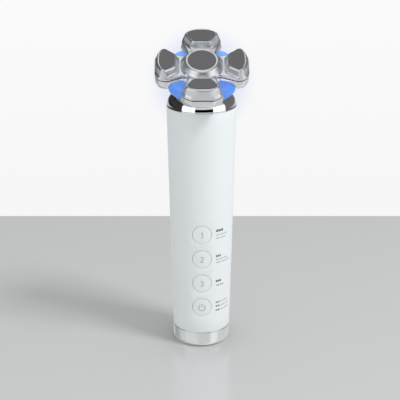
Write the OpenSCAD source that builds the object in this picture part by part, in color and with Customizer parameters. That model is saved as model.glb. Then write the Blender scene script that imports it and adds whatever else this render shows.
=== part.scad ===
// Facial toning device: a tapered white handle that stands on a metallic base cap, with four push
// buttons, a bright wedge collar and a tilted head of four petals and a round centre. Each pad holds
// a flat electrode, and a blue light guide shines between the arms. Millimetres, +Z up, front to -Y.
// The origin is the centre of the rest face.

/* [Handle] */
// Height of the white handle shell
handle_h = 142.5; // [125:0.5:165]
// Outer diameter of the handle at its top
handle_top_d = 42; // [40:0.5:46]
// Outer diameter of the handle at its bottom
handle_bottom_d = 35.6; // [34:0.2:38]
// Wall of the handle shell
shell_wall = 2; // [1.6:0.1:2.2]
// Depth of the shadow groove between handle and base
groove_depth = 0.5; // [0.3:0.1:0.8]

/* [Base] */
// Height of the base cap, from the table to the handle shell
base_h = 10.5; // [9.5:0.5:16]
// Radius of the rounded lower edge of the base cap
base_round = 3; // [1.5:0.5:4]
// Floor of the base cap
base_floor = 3; // [2.5:0.1:4]
// How far the base cap and the collar plug into the handle shell
spigot_len = 7; // [6:0.5:9]
// Wall of both plugs
spigot_wall = 2.4; // [2.2:0.1:3]
// How far the foot disc stands below the base cap
foot_proud = 0.5; // [0.3:0.1:1]
// Thickness of the foot disc
foot_t = 1.7; // [1.4:0.1:1.9]
// Diameter of the foot disc
foot_d = 27; // [22:0.5:28]

/* [Charging port] */
// Width of the port opening's metal shell
port_w = 8.9; // [8.3:0.1:9.5]
// Thickness of the port's metal shell across its mouth
port_t = 3.2; // [3:0.1:3.4]
// Depth of the port from its mouth to its closed end
port_len = 7.3; // [6.5:0.1:9]
// Thickness of the charging board
charge_board_t = 1; // [0.8:0.1:1.2]
// How far the charging board's screws go into the base floor
charge_screw_grip = 1.4; // [1:0.1:1.6]

/* [Buttons] */
// Diameter of the button caps
button_d = 11.4; // [9:0.2:12]
// Distance from one button to the next
button_pitch = 16.2; // [15.5:0.1:18]
// Height of the lowest button, the power button, above the table
button_z = 28.1; // [28:0.1:34]
// Open gap round each button cap
button_gap = 0.2; // [0.15:0.05:0.3]
// How far a button travels when it is pressed
button_travel = 0.5; // [0.3:0.1:0.7]
// Width of the retaining flange behind each cap
flange_w = 0.9; // [0.6:0.1:1.2]
// Thickness of the retaining flange
flange_t = 1.2; // [0.8:0.1:1.4]
// Diameter of the stem behind each cap
stem_d = 4; // [3:0.2:5]

/* [Circuit board and battery] */
// Width of the main board
board_w = 25; // [23:0.5:26]
// Thickness of the main board
board_t = 1.6; // [1:0.1:2]
// How far the back of the main board lies in front of the handle's axis
board_back = 4.9; // [4.5:0.1:5.4]
// Side of the square switch bodies
switch_w = 6; // [5:0.1:7]
// Height of the switch bodies
switch_h = 3.5; // [3:0.1:4]
// Diameter of the switch plungers
plunger_d = 3.4; // [2.6:0.1:4]
// How far the plungers stand out of the switches
plunger_out = 0.9; // [0.8:0.1:1.4]
// Diameter of the battery cell
battery_d = 14; // [12:0.2:14.2]
// Length of the battery cell
battery_len = 50; // [40:1:55]
// Width of the pulse transformer's core
core_w = 13; // [10:0.5:14]
// Wall of the inner frame's discs, rails and shelves
frame_t = 2; // [1.6:0.1:2.4]

/* [Collar] */
// Height of the joint centre between handle and head above the handle's top
pivot_h = 10; // [9:0.5:13]
// Height of the collar's rim lip
lip_h = 0.8; // [0.5:0.1:1.2]
// Set-back of the cone above the lip
lip_step = 1; // [0.6:0.1:1.4]
// Radius of the round neck that carries the head
neck_r = 13; // [12.6:0.1:13.4]
// How much larger than the neck the ball in the collar's bend is
ball_step = 0.4; // [0.3:0.1:0.6]
// Wall of the collar round the neck
neck_wall = 2; // [1.6:0.1:2.2]

/* [Head] */
// Tilt of the head towards the front
head_tilt = 30; // [20:1:35]
// Length of the neck, from the joint centre to the seam of the head
neck_len = 18.5; // [18:0.5:22]
// Reach of each arm from the head's centre
arm_r = 27.5; // [26.5:0.5:31]
// Half width of an arm where it is widest
arm_w = 11.6; // [11.4:0.1:12.6]
// Half width of an arm at its neck
arm_neck_w = 8.3; // [7.5:0.1:8.6]
// Half width of an arm at its tip
arm_tip_w = 6.5; // [6:0.1:7]
// Distance from the head's centre to where the arms start to widen
flare_r = 11.5; // [11:0.5:14]
// Length of an arm's wide end, from its widest corners to its tip
wide_len = 7; // [6:0.5:8]
// Radius of the corner between two arms
neck_round = 1.8; // [1:0.1:2]
// Radius of the bend where an arm starts to widen
flare_round = 4; // [2:0.5:4]
// Radius of an arm's widest corners
wide_round = 5; // [3:0.1:5]
// Radius of an arm's two tip corners
tip_round = 5; // [3:0.1:6]
// Radius of the round hub
hub_r = 11.2; // [11:0.1:11.8]
// Depth of the bright lower shell below the seam
lower_h = 6.5; // [6:0.1:7.5]
// Wall of the two head shells
head_wall = 1.4; // [1:0.1:1.6]
// Height of the valley between the pads above the seam
valley_h = 2; // [1.6:0.1:2.4]
// Height of the rounded edge round a pad's rim
rim_edge = 1; // [0.6:0.1:1.4]
// Height of a pad's electrode face above the seam
pad_h = 5.7; // [5.2:0.1:6.4]
// How far the centre electrode lies below the petals
hub_drop = 0.8; // [0.3:0.1:1]
// Inward lean of the four petal pads
pad_lean = 5; // [0:1:7]
// Height and inset of the dark seam line
seam_line = 0.45; // [0.3:0.05:0.6]

/* [Electrodes] */
// Diameter of the centre electrode
centre_d = 17.4; // [16:0.2:18]
// Half width of a petal electrode where it is widest
petal_w = 9.6; // [9:0.1:9.8]
// Length of a petal electrode, from its inner to its outer end
petal_len = 9.1; // [8:0.1:9.4]
// Shoulder of the pad outside a petal electrode, at the arm's tip
pad_shoulder = 2.6; // [2.3:0.1:3.2]
// Width of the rim round an electrode's face
rim_w = 0.8; // [0.6:0.05:1]
// Thickness of the electrodes
plate_t = 1.6; // [1.2:0.1:1.8]
// How far the electrodes stand above the pads
plate_proud = 0.3; // [0.2:0.05:0.4]

/* [Light guide] */
// How far the light guide's lobes stay inside the tips of the arms
guide_inset = 3.9; // [3:0.1:4.5]
// Radius of the lobes' upper edge
guide_round = 2.6; // [2:0.1:3]
// Half width of a lobe
lobe_w = 5.4; // [4.5:0.1:6]
// Radius of a lobe's two outer corners
lobe_round = 4; // [2:0.1:4.5]
// Depth of the lobes' upper face below the seam
guide_top = 3.5; // [3:0.1:4.5]
// Depth of the light guide's seat below the seam
guide_seat = 13.2; // [12.8:0.1:14]
// How far the light board stays inside the lobes' rim
led_board_inset = 6.6; // [6:0.1:9]
// Side of one light
led_size = 3; // [2:0.1:3.4]
// Height of one light
led_h = 1; // [0.8:0.1:1.4]
// Thickness of the light board and of the head board
small_board_t = 1; // [0.8:0.1:1.2]
// Radius of the sprung contacts' sleeves
contact_r = 1.1; // [0.9:0.1:1.3]
// Number of lights in each lobe
led_count = 2; // [1:1:3]

/* [Fits] */
// Radial clearance of plugs, plates and boards in their seats
fit = 0.05; // [0.03:0.01:0.08]
// Radius of the small screws
screw_r = 0.9; // [0.8:0.05:1]
// Height of the small screws' heads
screw_head_h = 1.3; // [1:0.1:1.5]
// Thickness of the sealing rings
seal_t = 1.6; // [1.2:0.1:1.8]

/* [Hidden] */
$fn = 96;
eps = 0.01;
top_z = base_h + handle_h;
top_r = handle_top_d / 2;
bottom_r = handle_bottom_d / 2;
taper = (top_r - bottom_r) / handle_h;
base_spigot_r = r_in(base_h) - fit;
base_spigot_top = base_h + spigot_len;
collar_spigot_z = top_z - spigot_len;
collar_spigot_r = r_in(collar_spigot_z) - fit;
floor_top = foot_proud + base_floor;
charge_board_z = floor_top;
charge_board_top = charge_board_z + charge_board_t;
charge_board_r = base_spigot_r - spigot_wall - 0.4;
port_z = charge_board_top + port_t / 2;
port_mouth = sqrt(pow(r_out(port_z), 2) - pow(port_w / 2, 2)) - 0.1;
charge_screw_r = charge_board_r - 2.6;
board_front = board_back + board_t;
board_z0 = base_spigot_top + frame_t + 2.5;
board_z1 = collar_spigot_z - 5;
switch_front = board_front + switch_h;
plunger_front = switch_front + plunger_out;
switch_travel_gap = button_travel + 0.3;
plunger_in = 2;
cap_r = button_d / 2;
frame_top_z = collar_spigot_z + 1;
rail_in = board_w / 2 - frame_t;
cell_z = board_z0 + 2 * frame_t;
cell_y = battery_d / 2 + 0.3 - board_back;
lead_r = 0.7;
lug_x = collar_spigot_r - spigot_wall - 1.9;
lug_r = 3;
lug_z = frame_top_z;
pivot_z = top_z + pivot_h;
neck_in = neck_r - neck_wall;
tube_r = neck_in - fit;
tube_wall = neck_wall * 0.9;
tube_end = guide_seat + neck_wall * 1.8;
head_board_n = head_wall - lower_h;
wide_r = arm_r - wide_len;
shoulder_len = wide_len / 3;
shoulder_drop = arm_w * 0.075;
shoulder_round = tip_round * 0.72;
root_r = flare_r * 1.12;
petal_out = arm_r - pad_shoulder;
petal_in = petal_out - petal_len;
pad_mid_r = (petal_in + petal_out) / 2;
rim_out = pad_shoulder * 0.23;
pin_r = contact_r * 0.55;
head_screw_at = hub_r * 0.45;
seat_fit = 2 * fit;
board_gap = head_wall * 0.43;
guide_r = arm_r - guide_inset;
guide_depth = guide_seat - guide_top;
led_board_r = guide_r - led_board_inset;
guide_floor = guide_depth * 0.155;
ledge_h = guide_depth * 0.145;
ledge_w = led_board_r * 0.094;
ring_r = led_board_r + guide_floor;
led_board_n = ledge_h + guide_floor - guide_seat;

// Outer and inner radius of the handle at height z.
function r_out(z) = bottom_r + (z - base_h) * taper;
function r_in(z) = r_out(z) - shell_wall;

// Height of button i, counted from the power button at 0 upwards.
function button_at(i) = button_z + i * button_pitch;

function unit(v) = v / norm(v);

// Points of an arc of radius r that rounds corner b between a and c, in n steps.
function round_corner(a, b, c, r, n) =
  let(u = unit(a - b), v = unit(c - b), half = acos(u * v) / 2)
  let(mid = b + unit(u + v) * r / sin(half))
  let(p = b + u * r / tan(half) - mid, q = b + v * r / tan(half) - mid)
  let(from = atan2(p.y, p.x), turn = (atan2(q.y, q.x) - from + 540) % 360 - 180)
  [for (i = [0:n]) mid + r * [cos(from + turn * i / n), sin(from + turn * i / n)]];

// A closed outline with every corner rounded by its own radius.
function rounded(pts, radii, n = 5) =
  let(m = len(pts))
  [for (i = [0:m - 1]) each round_corner(pts[(i + m - 1) % m], pts[i], pts[(i + 1) % m], radii[i], n)];

// Half of an arm's outline, from the neck to the tip, drawn in by inset.
function arm_side(inset) = [
  [flare_r, arm_neck_w - inset],
  [wide_r, arm_w - inset],
  [arm_r - shoulder_len - inset, arm_w - shoulder_drop - inset],
  [arm_r - inset, arm_tip_w - inset / 2]
];

// The radii of the arm's outer corners from the wide corner to the tip, which shrink with the inset.
function side_radii(inset) = [for (r = [wide_round, shoulder_round, tip_round]) max(r - inset, 0.5)];

// The whole arm outline, convex, starting at the neck.
function arm_outline(inset) =
  let(side = arm_side(inset), r = side_radii(inset))
  rounded(
    concat([for (p = side) [p.x, -p.y]], [for (i = [3:-1:0]) side[i]]),
    concat([1], r, [for (i = [2:-1:0]) r[i]], [1])
  );

// One arm's points for the cross, with the corner that it shares with the arm before it.
function cross_arm(inset) =
  let(side = arm_side(inset), w = arm_neck_w - inset)
  concat([[w, -w]], [for (p = side) [p.x, -p.y]], [for (i = [3:-1:0]) side[i]]);

// The outline of all four arms.
function cross_outline(inset) =
  let(arm = cross_arm(inset), r = side_radii(inset), flare = flare_round + inset)
  rounded(
    [for (k = [0:3]) each [for (p = arm) [
      p.x * cos(90 * k) - p.y * sin(90 * k),
      p.x * sin(90 * k) + p.y * cos(90 * k)
    ]]],
    [for (k = [0:3]) each concat([neck_round + inset, flare], r, [for (i = [2:-1:0]) r[i]], [flare])]
  );

// A petal electrode's outline, grown by grow, and by out more at its bowed outer end.
function petal_outline(grow, out = 0) =
  let(w = petal_w + grow, w_in = petal_w * 0.48 + grow, w_out = petal_w * 0.42 + grow / 2)
  let(a = petal_in - grow, b = petal_in + petal_len * 0.73 + out / 2, c = petal_out + grow + out)
  rounded(
    [[a, -w_in], [b, -w], [c, -w_out], [c, w_out], [b, w], [a, w_in]],
    petal_w * [0.21, 0.21, 1.2, 1.2, 0.21, 0.21],
    7
  );

// A lobe's outline, from inside the light guide's ring to just outside its rim.
function lobe_outline() =
  let(a = ring_r - guide_inset, c = guide_r + guide_round * 0.2)
  rounded(
    [[a, -lobe_w], [c, -lobe_w], [c, lobe_w], [a, lobe_w]],
    [lobe_w * 0.1, lobe_round, lobe_round, lobe_w * 0.1]
  );

// Where the straight line from point a touches a circle of radius r round the origin.
function touch_point(a, r) =
  let(d = norm(a), at = atan2(a.y, a.x) + acos(r / d))
  r * [cos(at), sin(at)];

// Puts its children in the head's frame: the seam's centre is the origin and +Z leaves the face.
module head_frame() {
  translate([0, 0, pivot_z])
    rotate([head_tilt, 0, 0])
      translate([0, 0, neck_len])
        children();
}

// Puts its children on arm k, with +X towards the tip: 0 right, 1 back, 2 left, 3 front.
module on_arm(k) {
  rotate([0, 0, 90 * k])
    children();
}

// Leans its children inwards about the middle of a petal pad's face.
module on_pad() {
  translate([pad_mid_r, 0, pad_h])
    rotate([0, -pad_lean, 0])
      translate([-pad_mid_r, 0, 0])
        children();
}

// A cylinder from the front towards the back, from y = -far to y = -near.
module from_front(r, far, near) {
  translate([0, -near, 0])
    rotate([90, 0, 0])
      cylinder(r = r, h = far - near);
}

// A ring of round section that touches the handle's inner wall at height z.
module seal_at(z) {
  rotate_extrude()
    translate([r_in(z) - seal_t / 2 - fit / 2, z])
      circle(d = seal_t, $fn = 24);
}

// The groove that a sealing ring lies in.
module seal_groove(z) {
  rotate_extrude()
    translate([r_in(z) - seal_t - fit, z - seal_t / 2 - 0.15])
      square([seal_t + 1, seal_t + 0.3]);
}

// A small screw whose head's seat is at the origin and whose shank runs up.
module screw(len, r = screw_r, head = screw_head_h) {
  cylinder(r = r, h = len, $fn = 32);
  difference() {
    translate([0, 0, -head])
      cylinder(r = r * 2, h = head, $fn = 32);
    translate([0, 0, -head - eps])
      cylinder(r = r * 0.8, h = head * 0.5, $fn = 6);
  }
}

// A straight wire between two points, with round ends.
module wire(a, b, r) {
  d = b - a;
  translate(a)
    rotate([0, acos(d.z / norm(d)), atan2(d.y, d.x)])
      cylinder(r = r, h = norm(d), $fn = 24);
}

// A wire along a list of points, with a ball in each bend.
module wire_path(pts, r) {
  for (i = [0:len(pts) - 2])
    wire(pts[i], pts[i + 1], r);
  for (i = [1:len(pts) - 2])
    translate(pts[i])
      sphere(r = r * 1.05, $fn = 24);
}

// The flat oval of the port's mouth, grown by grow, from its closed end towards the back.
module port_oval(grow, h) {
  r = port_t / 2 + grow;
  translate([0, port_mouth - port_len, port_z])
    rotate([-90, 0, 0]) {
      for (s = [-1, 1])
        translate([s * (port_w - port_t) / 2, 0, 0])
          cylinder(r = r, h = h, $fn = 48);
      translate([-(port_w - port_t) / 2, -r, 0])
        cube([port_w - port_t, 2 * r, h]);
    }
}

// The three places of the charging board's screws.
module at_charge_screws() {
  for (a = [30, 150, 270])
    rotate([0, 0, a])
      translate([charge_screw_r, 0, 0])
        children();
}

module base_foot() {
  color([0.16, 0.16, 0.17])
    cylinder(d = foot_d, h = foot_t);
}

// The base cap follows the handle's taper, and its lower edge is rounded.
module base_cap() {
  side = r_out(foot_proud + base_round);
  edge = [for (a = [-90:10:0]) [
    side - base_round + base_round * cos(a),
    foot_proud + base_round + base_round * sin(a)
  ]];
  groove_z = base_h - groove_depth;
  neck = r_out(base_h) - groove_depth;
  color([0.76, 0.77, 0.78])
    difference() {
      rotate_extrude()
        polygon(concat(
          [[0, foot_proud]],
          edge,
          [[r_out(groove_z), groove_z], [neck, groove_z], [neck, base_h]],
          [[base_spigot_r, base_h], [base_spigot_r, base_spigot_top - 0.6]],
          [[base_spigot_r - 0.6, base_spigot_top], [0, base_spigot_top]]
        ));
      translate([0, 0, floor_top])
        cylinder(r = base_spigot_r - spigot_wall, h = base_spigot_top);
      at_charge_screws()
        translate([0, 0, floor_top - charge_screw_grip - 0.1])
          cylinder(r = screw_r + fit, h = charge_screw_grip + 0.2);
      translate([0, 0, -eps])
        cylinder(d = foot_d + 2 * fit, h = foot_t + eps);
      port_oval(fit, port_len + 2);
      seal_groove(base_h + spigot_len / 2);
    }
}

module base_seal() {
  color([0.2, 0.2, 0.21])
    seal_at(base_h + spigot_len / 2);
}

module charging_port() {
  wall = 0.3;
  tongue = 0.7;
  color([0.7, 0.71, 0.73]) {
    difference() {
      port_oval(0, port_len);
      translate([0, 1, 0])
        port_oval(-wall, port_len);
    }
    translate([(port_t - port_w) / 2 + 0.4, port_mouth - port_len + 1 - eps, port_z - tongue / 2])
      cube([port_w - port_t - 0.8, port_len - 1.8, tongue]);
  }
}

module charge_board() {
  color([0.1, 0.32, 0.2])
    translate([0, 0, charge_board_z])
      difference() {
        cylinder(r = charge_board_r, h = charge_board_t);
        at_charge_screws()
          translate([0, 0, -eps])
            cylinder(r = screw_r + fit, h = charge_board_t + 2 * eps, $fn = 32);
      }
}

module charge_board_screws() {
  color([0.62, 0.63, 0.65])
    at_charge_screws()
      translate([0, 0, charge_board_top])
        mirror([0, 0, 1])
          screw(charge_board_t + charge_screw_grip);
}

// Two wires from the charging board up to the lower end of the main board.
module charge_harness() {
  color([0.7, 0.12, 0.1])
    for (s = [-1, 1])
      translate([3 * s, -board_back - board_t / 2, charge_board_top])
        cylinder(r = 0.8, h = board_z0 - charge_board_top, $fn = 24);
}

module handle_shell() {
  color([0.93, 0.94, 0.94])
    difference() {
      translate([0, 0, base_h])
        cylinder(r1 = bottom_r, r2 = top_r, h = handle_h);
      translate([0, 0, base_h - eps])
        cylinder(r1 = bottom_r - shell_wall, r2 = top_r - shell_wall, h = handle_h + 2 * eps);
      for (i = [0:3])
        translate([0, 0, button_at(i)])
          from_front(cap_r + button_gap, top_r + 1, 0);
    }
}

// The inner frame: a disc at each end, two rails for the main board, and the battery's cradle.
module chassis() {
  low_r = base_spigot_r - 0.3;
  high_r = collar_spigot_r - spigot_wall - 0.15;
  cradle_d = battery_d / 2 + 1.2;
  color([0.2, 0.21, 0.23])
    difference() {
      union() {
        translate([0, 0, base_spigot_top])
          cylinder(r = low_r, h = frame_t);
        translate([0, 0, frame_top_z - frame_t])
          cylinder(r = high_r, h = frame_t);
        for (s = [0, 1])
          mirror([s, 0, 0])
            translate([rail_in, -board_back, base_spigot_top])
              cube([frame_t, board_back + 3, frame_top_z - base_spigot_top]);
        translate([-rail_in - 1, cell_y - battery_d / 2, cell_z - frame_t])
          cube([2 * rail_in + 2, battery_d, frame_t]);
        for (z = [cell_z + 5, cell_z + battery_len - 9])
          translate([-rail_in - 1, cell_y, z])
            cube([2 * rail_in + 2, cradle_d, 2 * frame_t]);
      }
      translate([0, cell_y, cell_z])
        cylinder(d = battery_d + 2 * fit, h = battery_len);
      translate([-6, -board_front - 1.5, base_spigot_top - eps])
        cube([12, 5, frame_t + 2 * eps]);
      translate([0, -board_front, frame_top_z - frame_t - eps])
        cylinder(r = 4, h = frame_t + 2 * eps, $fn = 48);
      for (s = [-1, 1])
        translate([s * lug_x, 0, frame_top_z - frame_t - eps])
          cylinder(r = screw_r + fit, h = frame_t + 2 * eps, $fn = 32);
      at_board_screws()
        from_front(screw_r * 0.8 + fit, board_back + eps, 0.2);
    }
}

// The four places of the main board's screws.
module at_board_screws() {
  for (x = [-1, 1], z = [board_z0 + 3, board_z1 - 3])
    translate([x * (rail_in + frame_t / 2), 0, z])
      children();
}

module main_board() {
  color([0.1, 0.34, 0.2])
    difference() {
      translate([-board_w / 2, -board_front, board_z0])
        cube([board_w, board_t, board_z1 - board_z0]);
      at_board_screws()
        from_front(screw_r * 0.8 + fit, board_front + eps, board_back - eps);
    }
}

// Chips and a connector on the main board's front.
module board_components() {
  color([0.08, 0.08, 0.09]) {
    for (p = [[-4, 18, 7, 7], [5.5, 22, 5, 4], [-3, 36, 9, 6], [6, 38, 3, 5]])
      translate([p.x - p[2] / 2, -board_front - 1.2, button_at(3) + p.y - p[3] / 2])
        cube([p[2], 1.2, p[3]]);
    translate([-4, -board_front - 2.4, board_z1 - 6])
      cube([8, 2.4, 5]);
  }
}

module board_screws() {
  color([0.62, 0.63, 0.65])
    at_board_screws()
      translate([0, -board_front, 0])
        rotate([-90, 0, 0])
          screw(board_t + 3, screw_r * 0.8, 1);
}

module tact_switches() {
  color([0.13, 0.13, 0.14])
    for (i = [0:3])
      translate([0, 0, button_at(i)])
        difference() {
          translate([-switch_w / 2, -switch_front, -switch_w / 2])
            cube([switch_w, switch_h, switch_w]);
          from_front(plunger_d / 2 + fit, switch_front + eps, switch_front - plunger_in - switch_travel_gap);
        }
}

module switch_plunger(i) {
  color([0.75, 0.72, 0.66])
    translate([0, 0, button_at(i)])
      from_front(plunger_d / 2, plunger_front, switch_front - plunger_in);
}

// A pulse transformer on the main board's back: a core with its winding.
module transformer() {
  core = core_w * [1, 0.7, 0.92];
  color([0.2, 0.18, 0.17])
    translate([-core.x / 2, -board_back, cell_z + battery_len + 1.2 * core_w])
      difference() {
        cube(core);
        for (z = core.z * [0.2, 0.64])
          translate([core.x * 0.15, core.y * 0.2, z])
            cube([core.x * 0.7, core.y, core.z * 0.16]);
      }
}

module battery() {
  color([0.25, 0.45, 0.62]) {
    translate([0, cell_y, cell_z])
      cylinder(d = battery_d, h = battery_len);
    translate([0, cell_y, cell_z + battery_len - eps])
      cylinder(r = 2.8, h = 1 + eps, $fn = 48);
  }
}

// Two leads from the top of the cell to the main board's back.
module battery_leads() {
  z = cell_z + battery_len;
  color([0.75, 0.1, 0.1])
    for (s = [-1, 1])
      wire_path([[4 * s, cell_y, z], [4 * s, cell_y, z + 4], [4 * s, lead_r - board_back, z + 6]], lead_r);
}

// A push button: its cap follows the handle's surface, with a flange behind the wall and a stem that
// rests on its switch plunger.
module button_cap(i) {
  z = button_at(i);
  flange_r = cap_r + flange_w;
  near_r = r_in(z - flange_r);
  flange_y = sqrt(near_r * near_r - flange_r * flange_r) - 0.3;
  color([0.92, 0.93, 0.93]) {
    intersection() {
      translate([0, 0, z])
        from_front(cap_r, top_r + 1, flange_y - eps);
      translate([0, 0, base_h])
        cylinder(r1 = bottom_r, r2 = top_r, h = handle_h);
    }
    translate([0, 0, z])
      from_front(flange_r, flange_y, flange_y - flange_t);
    translate([0, 0, z])
      from_front(stem_d / 2, flange_y - flange_t + eps, plunger_front);
  }
}

// The collar is a cone that grows out of the handle and meets a ball joint, cut by the head's seat
// plane, so that it is low in front and high behind.
module collar() {
  ball = neck_r + ball_step;
  ball_in = neck_in + ball_step / 2;
  a = [top_r - lip_step, lip_h + 0.4 - pivot_h];
  t = touch_point(a, ball - 0.15);
  b = [a.x - neck_wall * 1.15, a.y];
  s = touch_point(b, ball_in - 0.15);
  drop = top_z - pivot_z;
  seat = neck_len - guide_seat;
  color([0.82, 0.83, 0.85])
    difference() {
      union() {
        translate([0, 0, pivot_z])
          rotate_extrude()
            polygon([
              [0, drop - spigot_len], [collar_spigot_r - 0.6, drop - spigot_len],
              [collar_spigot_r, drop - spigot_len + 0.6], [collar_spigot_r, drop],
              [top_r, drop], [top_r, drop + lip_h], a, t, [0, t.y]
            ]);
        translate([0, 0, pivot_z])
          sphere(r = ball);
        translate([0, 0, pivot_z])
          rotate([head_tilt, 0, 0])
            cylinder(r = neck_r, h = seat);
      }
      difference() {
        translate([0, 0, pivot_z])
          rotate_extrude()
            polygon([
              [0, drop - spigot_len - 1], [collar_spigot_r - spigot_wall, drop - spigot_len - 1],
              [collar_spigot_r - spigot_wall, drop], b, s, [0, s.y]
            ]);
        for (x = [-1, 1])
          translate([x * lug_x, 0, lug_z])
            cylinder(r = lug_r, h = pivot_h);
      }
      for (x = [-1, 1])
        translate([x * lug_x, 0, lug_z - eps])
          cylinder(r = screw_r + fit, h = 6, $fn = 32);
      translate([0, 0, pivot_z])
        sphere(r = ball_in);
      translate([0, 0, pivot_z])
        rotate([head_tilt, 0, 0])
          cylinder(r = neck_in, h = seat + 1);
      translate([0, 0, pivot_z])
        rotate([head_tilt, 0, 0])
          translate([0, 0, seat])
            cylinder(r = 2 * top_r, h = 2 * top_r);
      seal_groove(top_z - spigot_len / 2);
    }
}

module collar_seal() {
  color([0.2, 0.2, 0.21])
    seal_at(top_z - spigot_len / 2);
}

module chassis_screws() {
  color([0.62, 0.63, 0.65])
    for (s = [-1, 1])
      translate([s * lug_x, 0, frame_top_z - frame_t])
        screw(frame_t + 5);
}

// The floor plan of both head shells: the four arms and the round hub, drawn in by inset.
module head_plan(inset) {
  polygon(cross_outline(inset));
  circle(r = hub_r - inset);
}

// The bright lower shell: a tray with rounded lower edges, and the tube that plugs into the collar.
module head_lower_shell() {
  steps = [[0, 0], [0.015, 0.55], [0.08, 0.82], [0.2, 0.96], [0.37, 1]];
  color([0.8, 0.81, 0.83])
    head_frame()
      difference() {
        union() {
          translate([0, 0, -lower_h])
            linear_extrude(lower_h)
              intersection() {
                head_plan(0);
                circle(r = root_r);
              }
          for (k = [0:3])
            on_arm(k)
              hull()
                for (s = steps)
                  translate([0, 0, -s[1] * (lower_h - 0.2) - 0.2])
                    linear_extrude(0.2)
                      polygon(arm_outline(s[0] * lower_h));
          translate([0, 0, -tube_end])
            cylinder(r = tube_r, h = tube_end - lower_h + 1);
        }
        translate([0, 0, head_wall - lower_h])
          linear_extrude(lower_h)
            head_plan(head_wall);
        translate([0, 0, -tube_end - eps])
          cylinder(r = tube_r - tube_wall, h = tube_end - lower_h + eps);
        translate([0, 0, -lower_h - eps])
          cylinder(r = 2.6, h = head_wall + 2 * eps, $fn = 48);
        for (a = [45:90:315])
          rotate([0, 0, a])
            translate([head_screw_at * sqrt(2), 0, -lower_h - eps])
              cylinder(r = screw_r + fit, h = head_wall + 2 * eps, $fn = 32);
      }
}

// The satin upper shell: four leaning petal pads and a round centre boss on a low cross, with a seat
// for each electrode and an inset foot that makes the dark seam line.
module head_upper_shell() {
  top = pad_h - plate_proud;
  boss_top = top - hub_drop;
  boss_r = centre_d / 2 + rim_w;
  color([0.72, 0.73, 0.75])
    head_frame()
      difference() {
        union() {
          linear_extrude(seam_line + eps)
            head_plan(seam_line);
          translate([0, 0, seam_line])
            linear_extrude(valley_h - seam_line)
              intersection() {
                head_plan(0);
                circle(r = root_r);
              }
          for (k = [0:3])
            on_arm(k)
              hull() {
                translate([0, 0, seam_line])
                  linear_extrude(0.2)
                    polygon(arm_outline(0));
                on_pad()
                  translate([0, 0, -plate_proud - rim_edge])
                    linear_extrude(0.2)
                      polygon(petal_outline(rim_w * 1.25, rim_out));
                on_pad()
                  translate([0, 0, -plate_proud - 0.2])
                    linear_extrude(0.2)
                      polygon(petal_outline(rim_w * 0.75, rim_out));
              }
          translate([0, 0, seam_line])
            cylinder(r1 = hub_r, r2 = boss_r + rim_edge, h = boss_top - rim_edge - seam_line);
          translate([0, 0, boss_top - rim_edge - eps])
            cylinder(r1 = boss_r + rim_edge, r2 = boss_r, h = rim_edge + eps);
          for (a = [45:90:315])
            rotate([0, 0, a])
              translate([head_screw_at * sqrt(2), 0, head_board_n])
                cylinder(r = screw_r + 1, h = -head_board_n + 1, $fn = 32);
        }
        translate([0, 0, boss_top + plate_proud - plate_t])
          cylinder(r = centre_d / 2 + seat_fit, h = plate_t + 1);
        for (k = [0:3])
          on_arm(k) {
            on_pad()
              translate([0, 0, -plate_t])
                linear_extrude(plate_t + 1)
                  polygon(petal_outline(seat_fit));
            translate([pad_mid_r, 0, -eps])
              cylinder(r = contact_r + 0.3, h = pad_h, $fn = 32);
          }
        translate([0, 0, -eps])
          cylinder(r = contact_r + 0.3, h = pad_h, $fn = 32);
        for (a = [45:90:315])
          rotate([0, 0, a])
            translate([head_screw_at * sqrt(2), 0, head_board_n - eps])
              cylinder(r = screw_r + fit, h = -head_board_n, $fn = 32);
      }
}

// The cross-shaped board that joins the electrodes.
module head_board() {
  w = arm_neck_w - head_wall - 2 * board_gap;
  color([0.1, 0.34, 0.2])
    head_frame()
      difference() {
        translate([0, 0, head_board_n])
          linear_extrude(small_board_t)
            union() {
              circle(r = hub_r - head_wall - board_gap);
              for (k = [0:3])
                on_arm(k)
                  translate([0, -w])
                    square([arm_r - head_wall - 4 * board_gap, 2 * w]);
            }
        for (a = [45:90:315])
          rotate([0, 0, a])
            translate([head_screw_at * sqrt(2), 0, head_board_n - eps])
              cylinder(r = screw_r + 1 + 0.2, h = small_board_t + 2 * eps, $fn = 32);
      }
}

// One sprung contact from the head board up to the underside of an electrode.
module contact(h) {
  from = head_board_n + small_board_t;
  translate([0, 0, from])
    cylinder(r = contact_r, h = 3, $fn = 32);
  translate([0, 0, from + 3 - eps])
    cylinder(r = pin_r, h = h - from - 3, $fn = 24);
}

module electrode_contacts() {
  color([0.82, 0.68, 0.36])
    head_frame() {
      contact(pad_h - hub_drop - plate_t);
      for (k = [0:3])
        on_arm(k)
          translate([pad_mid_r, 0, 0])
            contact(pad_h - plate_t - pin_r * tan(pad_lean) - (plate_t * (1 / cos(pad_lean) - 1)) - fit);
    }
}

module head_screws() {
  color([0.62, 0.63, 0.65])
    head_frame()
      for (a = [45:90:315])
        rotate([0, 0, a])
          translate([head_screw_at * sqrt(2), 0, -lower_h])
            screw(lower_h - 1.2);
}

// The cable from the head board through the neck to the main board's connector.
module head_harness() {
  lean = [0, -sin(head_tilt), cos(head_tilt)];
  start = [0, 0, pivot_z] + (neck_len + head_board_n) * lean;
  y = -board_front - 1.6 - 0.05;
  color([0.85, 0.85, 0.83])
    wire_path([start, [0, 0, pivot_z], [0, y, frame_top_z + 4], [0, y, board_z1 - 1]], 1.6);
}

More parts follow.
